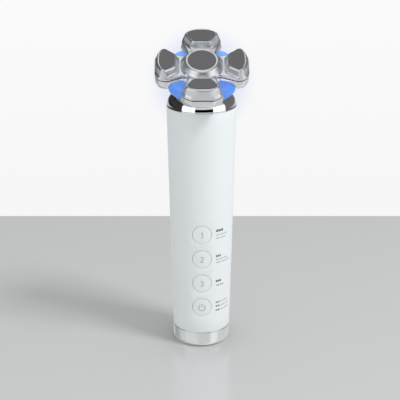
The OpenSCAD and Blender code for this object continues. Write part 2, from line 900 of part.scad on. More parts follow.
// The light guide: a ring under the arms, and four lobes with a rounded rim that fill the corners
// between the arms. All five are cut from one dish.
module light_diffuser() {
  low = guide_seat;
  bowl = [[1, 0.38], [0.98, 0.525], [0.92, 0.66], [0.82, 0.77], [0.69, 0.86]];
  rim = [for (a = [60:-10:0]) [
    guide_r - guide_round * (1 - cos(a)),
    -guide_top - guide_round * (sin(60) - sin(a))
  ]];
  color([0.35, 0.6, 0.95, 0.85])
    head_frame()
      difference() {
        intersection() {
          rotate_extrude()
            polygon(concat(
              [[neck_in, -guide_top], [guide_r - guide_round * 1.15, -guide_top]],
              rim,
              [for (p = bowl) [guide_r * p.x, -guide_top - guide_depth * p.y]],
              [[neck_r * 1.05, neck_r * 0.05 - low], [neck_r, -low], [neck_in, -low]]
            ));
          translate([0, 0, -low - eps])
            linear_extrude(low) {
              circle(r = ring_r);
              for (a = [45:90:315])
                rotate([0, 0, a])
                  polygon(lobe_outline());
            }
        }
        translate([0, 0, -lower_h])
          linear_extrude(lower_h + 1)
            head_plan(-fit);
        translate([0, 0, guide_floor - low])
          cylinder(r = led_board_r - ledge_w, h = ledge_h + 0.5);
        translate([0, 0, led_board_n])
          cylinder(r = led_board_r + fit, h = 1 - lower_h - led_board_n);
      }
}

module led_board() {
  color([0.9, 0.91, 0.9])
    head_frame()
      translate([0, 0, led_board_n])
        difference() {
          cylinder(r = led_board_r, h = small_board_t);
          translate([0, 0, -eps])
            cylinder(r = tube_r + fit, h = small_board_t + 2 * eps);
        }
}

// The lights stand on the light board, under the four lobes.
module leds() {
  color([0.92, 0.9, 0.75])
    head_frame()
      for (a = [45:90:315], i = [0:led_count - 1])
        rotate([0, 0, a + (i - (led_count - 1) / 2) * 18])
          translate([led_board_r - led_size, -led_size / 2, led_board_n + small_board_t])
            cube([led_size - 0.4, led_size, led_h]);
}

module electrode_center() {
  r = centre_d / 2;
  bevel = 0.4;
  color([0.37, 0.37, 0.38])
    head_frame()
      translate([0, 0, pad_h - hub_drop - plate_t]) {
        cylinder(r = r, h = plate_t - bevel);
        translate([0, 0, plate_t - bevel - eps])
          cylinder(r1 = r, r2 = r - bevel, h = bevel + eps);
      }
}

module electrode_petal(k) {
  color([0.37, 0.37, 0.38])
    head_frame()
      on_arm(k)
        on_pad()
          translate([0, 0, -plate_t])
            linear_extrude(plate_t)
              polygon(petal_outline(0));
}

base_foot();
base_cap();
base_seal();
charging_port();
charge_board();
charge_board_screws();
charge_harness();
handle_shell();
chassis();
main_board();
board_components();
board_screws();
tact_switches();
switch_plunger(0);  // switch_plunger_power
switch_plunger(1);  // switch_plunger_3
switch_plunger(2);  // switch_plunger_2
switch_plunger(3);  // switch_plunger_1
transformer();
battery();
battery_leads();
button_cap(0);  // power_button
button_cap(1);  // button_3
button_cap(2);  // button_2
button_cap(3);  // button_1
collar();
collar_seal();
chassis_screws();
head_lower_shell();
head_upper_shell();
head_board();
electrode_contacts();
head_screws();
head_harness();
light_diffuser();
led_board();
leds();
electrode_center();
electrode_petal(3);  // electrode_front
electrode_petal(1);  // electrode_back
electrode_petal(2);  // electrode_left
electrode_petal(0);  // electrode_right
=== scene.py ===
import math

import bmesh
import bpy
import numpy as np
from mathutils import Matrix, Vector
from mathutils.geometry import delaunay_2d_cdt


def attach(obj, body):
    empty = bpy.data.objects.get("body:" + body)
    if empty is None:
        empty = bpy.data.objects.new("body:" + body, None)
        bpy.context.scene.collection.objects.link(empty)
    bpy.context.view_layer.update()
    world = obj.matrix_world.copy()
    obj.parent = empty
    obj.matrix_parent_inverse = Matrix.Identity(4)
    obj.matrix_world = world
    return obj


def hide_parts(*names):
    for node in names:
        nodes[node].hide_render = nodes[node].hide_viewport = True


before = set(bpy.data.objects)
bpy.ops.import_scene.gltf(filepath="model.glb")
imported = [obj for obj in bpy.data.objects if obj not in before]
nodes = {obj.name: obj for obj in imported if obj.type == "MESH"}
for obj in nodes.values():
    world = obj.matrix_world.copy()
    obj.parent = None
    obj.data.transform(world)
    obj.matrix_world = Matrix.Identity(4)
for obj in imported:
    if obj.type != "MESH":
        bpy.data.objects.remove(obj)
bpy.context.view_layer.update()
print("frame loaded:", len(nodes), "nodes")

mm = 0.001
handle = {"baseZ": 10.5, "topZ": 153.0, "bottomR": 17.8, "topR": 21.0}
head = {"pivotZ": 163.0, "tilt": 30.0, "reach": 18.5}


def toLinear(text):  # sRGB hex to the linear colour that the shaders take
    values = [int(text[i:i + 2], 16) / 255 for i in (1, 3, 5)]
    return [v / 12.92 if v <= 0.04045 else ((v + 0.055) / 1.055) ** 2.4 for v in values] + [1.0]


def addNode(tree, kind, settings=None, inputs=None):
    node = tree.nodes.new(kind)
    for key, value in (settings or {}).items():
        setattr(node, key, value)
    for key, value in (inputs or {}).items():
        if isinstance(value, bpy.types.NodeSocket):
            tree.links.new(value, node.inputs[key])
        else:
            node.inputs[key].default_value = value
    return node


def newMaterial(name, sockets):  # a Principled material, its tree and its shader
    material = bpy.data.materials.new(name)
    material.use_nodes = True
    tree = material.node_tree
    shader = tree.nodes["Principled BSDF"]
    for key, value in sockets.items():
        shader.inputs[key].default_value = value
    return material, tree, shader


def addGrain(tree, shader, grain):  # a noise of a real size that drives the bump and the roughness
    place = addNode(tree, "ShaderNodeTexCoord")
    noise = addNode(tree, "ShaderNodeTexNoise", None, {
        "Vector": place.outputs["Object"], "Scale": 1 / (grain["sizeMm"] * mm), "Detail": grain.get("detail", 2.0),
    })
    bump = addNode(tree, "ShaderNodeBump", None, {
        "Height": noise.outputs["Fac"], "Strength": grain["strength"], "Distance": grain["depthMm"] * mm,
    })
    tree.links.new(bump.outputs["Normal"], shader.inputs["Normal"])
    if "rough" in grain:
        spread = addNode(tree, "ShaderNodeMapRange", None, {
            "Value": noise.outputs["Fac"], "From Min": 0.3, "From Max": 0.7,  # where most of the noise lies
            "To Min": grain["rough"][0], "To Max": grain["rough"][1],
        })
        tree.links.new(spread.outputs["Result"], shader.inputs["Roughness"])


def wear(material, *names):  # gives CAD nodes a material
    for name in names:
        slots = nodes[name].data.materials
        slots.clear()
        slots.append(material)


# satin white ABS: a soft sheen over a nearly neutral white
whitePlastic = {"Base Color": toLinear("#ecf1f3"), "Roughness": 0.34, "IOR": 1.53}
handleWhite, tree, shader = newMaterial("satinWhiteMouldedAbs", whitePlastic)
addGrain(tree, shader, {"sizeMm": 0.35, "strength": 0.12, "depthMm": 0.01})  # spark-eroded mould skin

# the same plastic, moulded in a polished cavity: the caps shine a little more than the handle
buttonWhite = newMaterial("polishedWhiteButtonCap", dict(whitePlastic, Roughness=0.24))[0]

# bright vacuum chrome over moulded plastic: sharp reflections that wander slightly
chromeSettings = {"Base Color": toLinear("#e9ebee"), "Metallic": 1.0, "Roughness": 0.05}
collarChrome, tree, shader = newMaterial("vacuumChromeOnAbs", chromeSettings)
addGrain(tree, shader, {"sizeMm": 9.0, "strength": 0.2, "depthMm": 0.05, "detail": 1.0})
shellChrome, tree, shader = newMaterial("softChromeOnAbs", dict(chromeSettings, Roughness=0.16))
addGrain(tree, shader, {"sizeMm": 7.0, "strength": 0.2, "depthMm": 0.05, "detail": 1.0})

# satin nickel plating: a silver that blurs what it reflects; the blasted grain is drawn coarser than the real
# 0.05 mm so that it shows, here and on the two finishes below
satinSilver, tree, shader = newMaterial("satinNickelPlatedAbs", {
    "Base Color": toLinear("#dfe2e6"), "Metallic": 1.0, "Roughness": 0.34,
})
addGrain(tree, shader, {"sizeMm": 0.2, "strength": 0.15, "depthMm": 0.01, "rough": [0.31, 0.39]})

# satin aluminium of the base cap under a clear lacquer: a pale silver with soft-edged reflections
baseSilver, tree, shader = newMaterial("lacqueredSatinAluminium", {
    "Base Color": toLinear("#eef1f0"), "Metallic": 1.0, "Roughness": 0.16,
})
addGrain(tree, shader, {"sizeMm": 0.25, "strength": 0.06, "depthMm": 0.01, "rough": [0.12, 0.2]})

# conductive dark coating on the electrodes: grey, half matt, with a faint sheen
electrodeGrey, tree, shader = newMaterial("darkConductiveCoating", {
    "Base Color": toLinear("#58585a"), "Metallic": 0.35, "Roughness": 0.36,
})
addGrain(tree, shader, {"sizeMm": 0.12, "strength": 0.2, "depthMm": 0.008, "rough": [0.32, 0.42]})

# painted shade: the band where the two head shells meet is coloured near black for the shadow in the gap, where nearly
# no light comes back out
seamPaintedShade = newMaterial("paintedSeamShade", {"Base Color": toLinear("#15161a"), "Roughness": 0.8})[0]

# lit light guide: blue polycarbonate that glows from inside, a little paler towards the back
glowSettings = {"front": -30.0, "back": 8.0, "frontColor": "#5480c2", "backColor": "#7fafe8"}  # places in mm
guideBlue, tree, shader = newMaterial("blueLitPolycarbonate", {
    "Base Color": toLinear("#1f4fa8"), "Roughness": 0.32, "IOR": 1.58, "Emission Strength": 0.75,
})
place = addNode(tree, "ShaderNodeTexCoord")
split = addNode(tree, "ShaderNodeSeparateXYZ", None, {"Vector": place.outputs["Object"]})
depth = addNode(tree, "ShaderNodeMapRange", None, {
    "Value": split.outputs["Y"], "From Min": glowSettings["front"] * mm, "From Max": glowSettings["back"] * mm,
    "To Min": 0.0, "To Max": 1.0,
})
glow = addNode(tree, "ShaderNodeValToRGB", None, {"Fac": depth.outputs["Result"]})
glow.color_ramp.elements[0].color = toLinear(glowSettings["frontColor"])
glow.color_ramp.elements[1].color = toLinear(glowSettings["backColor"])
tree.links.new(glow.outputs["Color"], shader.inputs["Emission Color"])

# pad print on the handle: near black for the short marks, a thin grey ink for the fine ones
printDark = newMaterial("darkPadPrint", {"Base Color": toLinear("#5a5d60"), "Roughness": 0.5})[0]
printPale = newMaterial("greyPadPrint", {"Base Color": toLinear("#a9adb0"), "Roughness": 0.5})[0]

# finishes of the pieces that the closed housing hides, or that only the back and the underside show:
# colour, metallic, roughness and the pieces that wear it
plungers = ["switch_plunger_power", "switch_plunger_1", "switch_plunger_2", "switch_plunger_3"]
screws = ["charge_board_screws", "board_screws", "chassis_screws", "head_screws"]
plain = {
    "matteBlackRubber": ("#26272a", 0.0, 0.75, ["base_foot", "base_seal", "collar_seal"]),  # dull and dark
    "platedPortSteel": ("#b9babd", 1.0, 0.3, ["charging_port"]),  # a grey gleam in the inlet
    "zincPlatedSteel": ("#b0b2b5", 1.0, 0.35, screws),  # softly bright
    "greenSolderMask": ("#1d5a38", 0.0, 0.3, ["charge_board", "main_board", "head_board"]),  # smooth dark green
    "whiteSolderMask": ("#e8eae8", 0.0, 0.35, ["led_board"]),  # throws the lamps' light forwards
    "lampPackage": ("#ece6c8", 0.0, 0.25, ["leds"]),  # cream and glossy
    "blackEpoxyChip": ("#1b1c1e", 0.0, 0.45, ["board_components", "tact_switches"]),  # half matt
    "creamSwitchPlunger": ("#cfc8b8", 0.0, 0.45, plungers),  # plain moulded cream
    "sinteredFerrite": ("#37322f", 0.0, 0.6, ["transformer"]),  # brown black, like stone
    "blueShrinkWrap": ("#3f72a0", 0.0, 0.28, ["battery"]),  # tight glossy film
    "redWireInsulation": ("#a8281f", 0.0, 0.45, ["battery_leads", "charge_harness"]),  # waxy red
    "whiteWireInsulation": ("#d8d8d4", 0.0, 0.45, ["head_harness"]),  # waxy white
    "mouldedBlackNylon": ("#34363a", 0.0, 0.5, ["chassis"]),  # half matt, nearly black
    "goldPlatedContact": ("#d8b56a", 1.0, 0.25, ["electrode_contacts"]),  # warm and bright
}
for name, (color, metallic, rough, members) in plain.items():
    sockets = {"Base Color": toLinear(color), "Metallic": metallic, "Roughness": rough}
    wear(newMaterial(name, sockets)[0], *members)

wear(handleWhite, "handle_shell")
wear(buttonWhite, "power_button", "button_1", "button_2", "button_3")
wear(baseSilver, "base_cap")
wear(shellChrome, "head_lower_shell")
wear(satinSilver, "head_upper_shell")
wear(guideBlue, "light_diffuser")
electrodes = ["electrode_center", "electrode_front", "electrode_back", "electrode_left", "electrode_right"]
wear(electrodeGrey, *electrodes)
print("materials made")

# the head is drawn in its own frame, in mm: the origin in the middle of the seam and Z out of the face
toHead = (Matrix.Translation((0, 0, head["pivotZ"] * mm)) @ Matrix.Rotation(math.radians(head["tilt"]), 4, "X")
          @ Matrix.Translation((0, 0, head["reach"] * mm)) @ Matrix.Scale(mm, 4))
arm = {"tipR": 27.5, "halfWidth": 11.6, "neckWidth": 8.3, "flareR": 11.5, "wideR": 20.5, "tipWidth": 6.5, "hubR": 11.2,
       "shoulder": (2.33, 0.87), "rounds": (5.0, 3.6, 5.0), "leastRound": 0.5, "notchR": 1.8, "rootR": 4.0}
petal = {"width": 9.6, "length": 9.1, "outer": 24.9, "top": 5.7, "lean": 5.0, "bow": 0.6, "rim": 0.75}
petal["inner"] = petal["outer"] - petal["length"]
petalShares = {"widest": 0.73, "innerEnd": 0.48, "outerEnd": 0.42, "smallRound": 0.21, "largeRound": 1.2}
turns = [(1, 0), (0, 1), (-1, 0), (0, -1)]  # the arms: right, back, left, front


def unit(v):
    return v / np.linalg.norm(v)


def turned(outline, quarter):
    c, s = turns[quarter]
    return np.column_stack([outline[:, 0] * c - outline[:, 1] * s, outline[:, 0] * s + outline[:, 1] * c])


def roundedOutline(points, radii, steps=8):  # a polygon with an arc at each corner
    points = [np.array(p, float) for p in points]
    out = []
    for i, b in enumerate(points):
        a, c, r = points[i - 1], points[(i + 1) % len(points)], radii[i]
        u, v = unit(a - b), unit(c - b)
        half = math.acos(float(u @ v)) / 2
        mid = b + unit(u + v) * r / math.sin(half)
        p, q = b + u * r / math.tan(half) - mid, b + v * r / math.tan(half) - mid
        start = math.atan2(p[1], p[0])
        turn = (math.atan2(q[1], q[0]) - start + 3 * math.pi) % (2 * math.pi) - math.pi
        angles = [start + turn * k / steps for k in range(steps + 1)]
        out += [mid + r * np.array([math.cos(t), math.sin(t)]) for t in angles]
    return np.array(out)


def armSide(inset, widen):  # one side of an arm, from its neck to its tip
    wide = arm["halfWidth"] - inset + widen
    back, narrow = arm["shoulder"]
    return [(arm["flareR"], arm["neckWidth"] - inset + widen), (arm["wideR"], wide),
            (arm["tipR"] - back - inset, wide - narrow), (arm["tipR"] - inset, arm["tipWidth"] - inset / 2 + widen)]


def crossOutline(inset, widen=0.0):  # the arms' floor plan, drawn in by inset, with the arms' sides moved out by widen
    side, w = armSide(inset, widen), arm["neckWidth"] - inset + widen
    quarter = np.array([(w, -w)] + [(x, -y) for x, y in side] + side[::-1])
    rounds = [arm["rootR"] + inset] + [max(r - inset, arm["leastRound"]) for r in arm["rounds"]]
    bends = [arm["notchR"] + inset] + rounds + rounds[::-1]
    return roundedOutline(np.vstack([turned(quarter, k) for k in range(4)]), bends * 4)


def petalOutline(grow, out=0.0):  # an electrode's outline, grown by grow, and by out more at its outer end
    width, share = petal["width"], petalShares
    w, a, c = width + grow, petal["inner"] - grow, petal["outer"] + grow + out
    b = petal["inner"] + petal["length"] * share["widest"] + out / 2
    inW, outW = width * share["innerEnd"] + grow, width * share["outerEnd"] + grow / 2
    small, large = width * share["smallRound"], width * share["largeRound"]
    return roundedOutline([(a, -inW), (b, -w), (c, -outW), (c, outW), (b, w), (a, inW)],
                          [small, small, large, large, small, small])


def circleOutline(radius, count=96):
    t = np.arange(count) * 2 * math.pi / count
    return np.stack([radius * np.cos(t), radius * np.sin(t)], 1)


def lift(outline, height):  # a flat outline as a ring at a height
    return np.column_stack([outline, np.full(len(outline), float(height))])


def roundProfile(rings, cuts, steps=5):  # rounds the bends between neighbouring rings by a cut in mm
    out = [rings[0]]
    for i in range(1, len(rings) - 1):
        here, cut = rings[i], cuts[i - 1]
        ends = []
        for other in (rings[i - 1], rings[i + 1]):
            way = other - here
            length = np.linalg.norm(way, axis=1, keepdims=True)
            ends.append(here + way / length * np.minimum(cut, length * 0.45))  # short of the middle of a side
        for k in range(steps + 1):
            t = k / steps
            out.append((1 - t) ** 2 * ends[0] + 2 * t * (1 - t) * here + t ** 2 * ends[1])
    return out + [rings[-1]]


# each loft is (rings, close the first, close the last, material slot)
def loftMesh(name, lofts, materials, matrix, body, crown=None):
    points, faces, slots, smooth = [], [], [], []
    for rings, first, last, slot in lofts:
        start, count = len(points), len(rings[0])
        for ring in rings:
            points += [matrix @ Vector(p) for p in ring]
        for i in range(len(rings) - 1):
            a, b = start + i * count, start + (i + 1) * count
            for k in range(count):
                n = (k + 1) % count
                faces.append((a + k, a + n, b + n, b + k))
                slots.append(slot)
                smooth.append(True)
        for wanted, base, flipped in ((first, start, True), (last, start + (len(rings) - 1) * count, False)):
            if wanted:
                loop = tuple(range(base, base + count))
                faces.append(loop[::-1] if flipped else loop)
                slots.append(slot)
                smooth.append(False)
    mesh = bpy.data.meshes.new(name)
    mesh.from_pydata(points, [], faces)
    for material in materials:
        mesh.materials.append(material)
    mesh.polygons.foreach_set("material_index", slots)
    mesh.polygons.foreach_set("use_smooth", smooth)
    if crown:  # a free surface that joins the lofts
        both = bmesh.new()
        both.from_mesh(mesh)
        old = len(both.faces)
        both.from_mesh(crown)
        both.faces.ensure_lookup_table()
        for face in both.faces[old:]:
            face.smooth = True
        both.to_mesh(mesh)
        both.free()
    mesh.set_sharp_from_angle(angle=math.radians(32))  # steeper edges stay sharp
    mesh.update()
    piece = bpy.data.objects.new(name, mesh)
    bpy.context.scene.collection.objects.link(piece)
    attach(piece, body)
    return piece


# upper shell: one flowing surface over the floor plan of the arms, with a skirt down to the seam
upper = {"foot": 0.5, "skirtFrom": -0.9, "seam": (-0.85, 0.2), "tuck": 0.97, "flare": 0.2, "valley": 0.3,
         "faceDrop": 0.3, "hubDrop": 0.8, "bossR": 9.75, "padSlope": 3.6, "bossSlope": 2.0, "soft": 0.45, "blend": 1.9,
         "edgeFrom": 0.2, "edgeSlope": 2.2, "edgeSoft": 0.3}
# where the surface has its points: on a grid, and closer together along each crease
net = {"grid": 0.4, "shift": 0.07, "reach": 28, "edges": (0.15, 0.3, 0.5, 0.8), "pads": (-0.6, 1.8, 0.15),
       "boss": (-0.6, 1.9, 0.25), "margin": 0.06, "shortest": 0.02}
lean = math.radians(petal["lean"])
padMiddle = (petal["inner"] + petal["outer"]) / 2


def outsideDistance(points, outline):  # distance to a closed outline, negative inside
    ends = np.roll(outline, -1, axis=0)
    way = ends - outline
    keep = np.hypot(way[:, 0], way[:, 1]) > 1e-6
    starts, ends, way = outline[keep], ends[keep], way[keep]
    reach, odd = np.full(len(points), 1e9), np.zeros(len(points), bool)
    for p, q, w in zip(starts, ends, way):
        t = np.clip(((points - p) @ w) / (w @ w), 0, 1)
        gap = points - p - t[:, None] * w
        reach = np.minimum(reach, np.hypot(gap[:, 0], gap[:, 1]))
        if p[1] != q[1]:
            crosses = ((points[:, 1] < p[1]) != (points[:, 1] < q[1]))
            odd ^= crosses & (points[:, 0] < p[0] + (points[:, 1] - p[1]) * w[0] / w[1])
    return np.where(odd, -reach, reach)


def softSlope(distance, slope, soft):  # flat inside, a rounded edge, then a steady slope
    return 0.5 * slope * (distance + np.sqrt(distance ** 2 + soft ** 2))


def softMax(a, b, blend):
    return 0.5 * (a + b + np.sqrt((a - b) ** 2 + blend ** 2))


def upperHeight(points):  # the boss and the pads rise out of the valley and run down to the edge
    boss = petal["top"] - upper["hubDrop"] - upper["faceDrop"] - softSlope(
        np.hypot(points[:, 0], points[:, 1]) - upper["bossR"], upper["bossSlope"], upper["soft"])
    height = softMax(np.full(len(points), upper["valley"]), boss, upper["blend"])
    for c, s in turns:
        local = np.column_stack([points[:, 0] * c + points[:, 1] * s, points[:, 1] * c - points[:, 0] * s])
        face = petal["top"] - upper["faceDrop"] + (local[:, 0] - padMiddle) * math.tan(lean)
        outside = outsideDistance(local, petalOutline(petal["rim"], petal["bow"]))
        height = softMax(height, face - softSlope(outside, upper["padSlope"], upper["soft"]), upper["blend"])
    inside = -outsideDistance(points, crossOutline(0))
    return height - softSlope(upper["edgeFrom"] - inside, upper["edgeSlope"], upper["edgeSoft"])


edge = crossOutline(0)
edge = edge[np.hypot(*(edge - np.roll(edge, 1, axis=0)).T) > net["shortest"]]
dense = [edge + (np.roll(edge, -1, axis=0) - edge) * t for t in (0.0, 0.5)]
edge = np.stack(dense, 1).reshape(-1, 2)
seeds = [crossOutline(inset) for inset in net["edges"]]
for quarter in range(4):
    seeds += [turned(petalOutline(petal["rim"] + d, petal["bow"]), quarter) for d in np.arange(*net["pads"])]
seeds += [circleOutline(upper["bossR"] + d) for d in np.arange(*net["boss"])]
steps = np.arange(-net["reach"], net["reach"], net["grid"])
seeds.append(np.stack(np.meshgrid(steps, steps + net["shift"]), -1).reshape(-1, 2))
seeds = np.vstack(seeds)
seeds = seeds[outsideDistance(seeds, edge) < -net["margin"]]
flat = [Vector(p) for p in np.vstack([edge, seeds])]
rim = [(k, (k + 1) % len(edge)) for k in range(len(edge))]
flat, _, triangles, _, _, _ = delaunay_2d_cdt(flat, rim, [], 1, 1e-4)
flat = np.array([tuple(p) for p in flat])
crown = bpy.data.meshes.new("flowingCrown")
crown.from_pydata([toHead @ Vector((*p, h)) for p, h in zip(flat, upperHeight(flat))], [], triangles)
way = np.roll(edge, -1, axis=0) - np.roll(edge, 1, axis=0)
outward = np.column_stack([way[:, 1], -way[:, 0]]) / np.linalg.norm(way, axis=1, keepdims=True)
hem = np.clip(edge + outward * upper["flare"], -arm["tipR"], arm["tipR"])
edgeTop = np.column_stack([edge, upperHeight(edge)])
under = [lift(edge * upper["tuck"], upper["skirtFrom"]), lift(hem, upper["skirtFrom"]), edgeTop]
foot, hub = crossOutline(upper["foot"]), circleOutline(arm["hubR"] - upper["foot"])
seamRings = [lift(foot, upper["skirtFrom"] + z) for z in upper["seam"]]
hubRings = [lift(hub, upper["skirtFrom"] + z) for z in upper["seam"]]
# slot 1, on the seam band and on the hub's band under it, is the near-black painted seam shade
upperLofts = [(under, True, False, 0), (seamRings, True, True, 1), (hubRings, True, True, 1)]
upperShell = loftMesh("satinUpperShell", upperLofts, [satinSilver, seamPaintedShade], toHead, "handle", crown)
bpy.data.meshes.remove(crown)
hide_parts("head_upper_shell")

# lower shell: a bright tray, flared on the arms' sides, whose lower edge rounds away under the arms
lower = {
    "section": [(0.9, 0.0, -2.0), (0.5, 0.0, -1.8), (0.0, 0.0, -1.8), (0.1, 0.9, -4.4), (0.45, 0.9, -6.7),
                (1.3, 0.9, -7.75), (2.6, 0.9, -8.0)],  # inset, flare and height of each ring
    "bends": [0.1, 0.3, 1.0, 0.6, 0.5], "hub": (-1.9, -7.9), "tubeR": 10.95, "tube": (-7.5, -16.8),
}
lowerRings = roundProfile([lift(crossOutline(inset, flare), z) for inset, flare, z in lower["section"]], lower["bends"])
hubRings = [lift(circleOutline(arm["hubR"]), z) for z in lower["hub"]]
tubeRings = [lift(circleOutline(lower["tubeR"]), z) for z in lower["tube"]]
lowerLofts = [(rings, True, True, 0) for rings in (lowerRings, hubRings, tubeRings)]
lowerShell = loftMesh("chromeLowerShell", lowerLofts, [shellChrome], toHead, "handle")
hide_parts("head_lower_shell")
print("head shells made")

# collar: a bright wedge, a steep wall that rounds over and stops at the light guide's tilted seat, and the neck
collar = {
    "wall": [(21.0, 0.0), (21.0, 0.5), (20.75, 0.9), (20.5, 2.7), (19.9, 4.8), (18.6, 6.9), (16.4, 8.9),
             (13.0, 10.4)],  # radius and height over the handle
    "bends": [0.2, 0.3, 1.0, 1.2, 1.3, 1.3], "facets": 144,
    "seat": 5.25, "guideSeat": 13.25, "neckR": 13.0, "neckLong": 12.5,
}


def underSeat(ring):  # lowers what would rise above the tilted seat
    tilt = math.radians(head["tilt"])
    top = head["pivotZ"] + (collar["seat"] + ring[:, 1] * math.sin(tilt)) / math.cos(tilt)
    return np.column_stack([ring[:, :2], np.minimum(ring[:, 2], top)])


wallRings = [lift(circleOutline(r, collar["facets"]), handle["topZ"] + z) for r, z in collar["wall"]]
wallRings = [underSeat(ring) for ring in roundProfile(wallRings, collar["bends"])]
neck = circleOutline(collar["neckR"])
neckEnds = (-collar["guideSeat"] - collar["neckLong"], -collar["guideSeat"])
neckRings = [np.array([toHead @ Vector(p) for p in lift(neck, h)]) / mm for h in neckEnds]
collarPiece = loftMesh("wedgeCollar", [(wallRings, True, True, 0), (neckRings, True, True, 0)],
                       [collarChrome], Matrix.Scale(mm, 4), "handle")
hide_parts("collar")
print("collar made")

# light guide: four lit lobes, rounded like pebbles, and the ring under the arms that joins them
guide = {
    "inner": 9.0, "reach": 23.3, "halfWidth": 7.9, "corner": 6.3, "leastCorner": 0.6, "innerCorner": 0.4,
    "top": -4.2, "rim": 3.2, "rimStep": 15, "wallFoot": -7.6,
    "bowl": [(0.4, -8.5), (1.5, -9.6), (3.4, -10.6), (5.6, -11.4)],  # inset and height
    "ring": [(13.25, -13.2), (16.9, -11.8), (18.4, -9.6), (18.4, -4.2)], "ringBends": [0.6, 0.8],  # radius and height
}


def lobeOutline(inset, quarter):  # a lobe stands half way between two arms
    w, tip = guide["halfWidth"] - inset, guide["reach"] - inset
    small, large = guide["innerCorner"], max(guide["corner"] - inset, guide["leastCorner"])
    corners = [(guide["inner"], -w), (tip, -w), (tip, w), (guide["inner"], w)]
    x, y = roundedOutline(corners, [small, large, large, small]).T
    return turned(np.column_stack([x - y, x + y]) * math.sqrt(0.5), quarter)


rimTurns = [math.radians(a) for a in range(0, 91, guide["rimStep"])]
section = [(guide["rim"] * (1 - math.sin(a)), guide["top"] - guide["rim"] * (1 - math.cos(a))) for a in rimTurns]
section += [(0.0, guide["wallFoot"])] + guide["bowl"]
lobeLofts = [([lift(lobeOutline(inset, q), z) for inset, z in section[::-1]], True, True, 0) for q in range(4)]
ringRings = roundProfile([lift(circleOutline(r), z) for r, z in guide["ring"]], guide["ringBends"])
lightGuide = loftMesh("litLightGuide", lobeLofts + [(ringRings, True, True, 0)], [guideBlue], toHead, "handle")
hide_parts("light_diffuser")
print("light guide made")

# plain marks beside the buttons, wrapped round the handle and a hair above it: z and height in mm, angles in degrees
marks = {
    "lift": 0.05, "middleR": 19.0, "step": 0.5,
    "dark": [
        {"z": 78.8, "high": 1.5, "pieces": [(27.0, 30.4), (31.4, 34.6), (35.6, 38.6), (39.5, 42.3)]},
        {"z": 62.0, "high": 1.3, "pieces": [(27.0, 30.2), (31.2, 34.0), (35.0, 37.4)]},
        {"z": 45.1, "high": 1.3, "pieces": [(27.0, 30.2), (31.2, 34.4), (35.4, 38.4)]},
        {"z": 30.5, "high": 0.8, "pieces": [(27.0, 31.0), (32.0, 35.6)]},
        {"z": 27.9, "high": 0.8, "pieces": [(27.0, 31.0), (32.0, 35.6)]},
        {"z": 25.1, "high": 0.8, "pieces": [(27.0, 31.0), (32.0, 35.6)]},
    ],
    "pale": [
        {"z": 76.0, "high": 0.5, "pieces": [(27.0, 34.0), (35.2, 44.0), (45.4, 52.8)]},
        {"z": 73.9, "high": 0.5, "pieces": [(27.0, 36.0), (37.4, 49.0)]},
        {"z": 59.6, "high": 0.5, "pieces": [(27.0, 33.0), (34.4, 45.0), (46.2, 55.0)]},
        {"z": 57.6, "high": 0.5, "pieces": [(27.0, 38.0), (39.4, 50.0), (51.4, 63.0)]},
        {"z": 42.2, "high": 0.8, "pieces": [(27.0, 35.0), (36.2, 45.0)]},
        {"z": 30.5, "high": 0.5, "pieces": [(38.0, 46.0), (47.5, 58.0)]},
        {"z": 27.9, "high": 0.5, "pieces": [(38.0, 50.0), (51.5, 62.0)]},
        {"z": 25.1, "high": 0.5, "pieces": [(38.0, 45.0), (46.5, 60.0)]},
    ],
}
digits = {  # strokes in a box 1 wide and 2 high, for the figures on the caps
    "1": [[(0.2, 1.6), (0.6, 2.0), (0.6, 0.0)]],
    "2": [[(0.05, 1.6), (0.3, 1.95), (0.75, 1.95), (0.95, 1.6), (0.9, 1.25), (0.05, 0.0), (1.0, 0.0)]],
    "3": [[(0.05, 1.8), (0.4, 2.0), (0.8, 1.85), (0.9, 1.45), (0.45, 1.05),
           (0.95, 0.7), (0.85, 0.15), (0.4, 0.0), (0.0, 0.2)]],
    "power": [[(0.5, 1.2), (0.5, 2.1)],
              [(0.5 + 0.85 * math.sin(t), 0.95 + 0.85 * math.cos(t)) for t in np.linspace(0.6, 2 * math.pi - 0.6, 15)]],
}
caps = {"button_1": ("1", 76.7), "button_2": ("2", 60.5), "button_3": ("3", 44.3), "power_button": ("power", 28.1)}
figure = {"high": 3.6, "powerHigh": 4.8, "stroke": 0.45}


def onHandle(around, z):  # a point on the handle by its way round and its height, in mm
    growth = (handle["topR"] - handle["bottomR"]) / (handle["topZ"] - handle["baseZ"])
    r = handle["bottomR"] + (z - handle["baseZ"]) * growth
    turn = around / r
    r += marks["lift"]
    return Vector((r * math.sin(turn), -r * math.cos(turn), z)) * mm


def printOn(name, strips, material, body):  # each strip is a line of points with a width, in mm round and up
    points, faces = [], []
    for line, wide in strips:
        line = [np.array(p, float) for p in line]
        fine = [line[0]]
        for a, b in zip(line, line[1:]):
            parts = max(1, int(np.linalg.norm(b - a) / marks["step"]))
            fine += [a + (b - a) * (k + 1) / parts for k in range(parts)]
        for k, p in enumerate(fine):
            way = unit(fine[min(k + 1, len(fine) - 1)] - fine[max(k - 1, 0)])
            side = np.array([-way[1], way[0]]) * wide / 2
            points += [onHandle(*(p - side)), onHandle(*(p + side))]
            if k:
                n = len(points)
                faces.append((n - 4, n - 2, n - 1, n - 3))
    mesh = bpy.data.meshes.new(name)
    mesh.from_pydata(points, [], faces)
    mesh.materials.append(material)
    piece = bpy.data.objects.new(name, mesh)
    bpy.context.scene.collection.objects.link(piece)
    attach(piece, body)


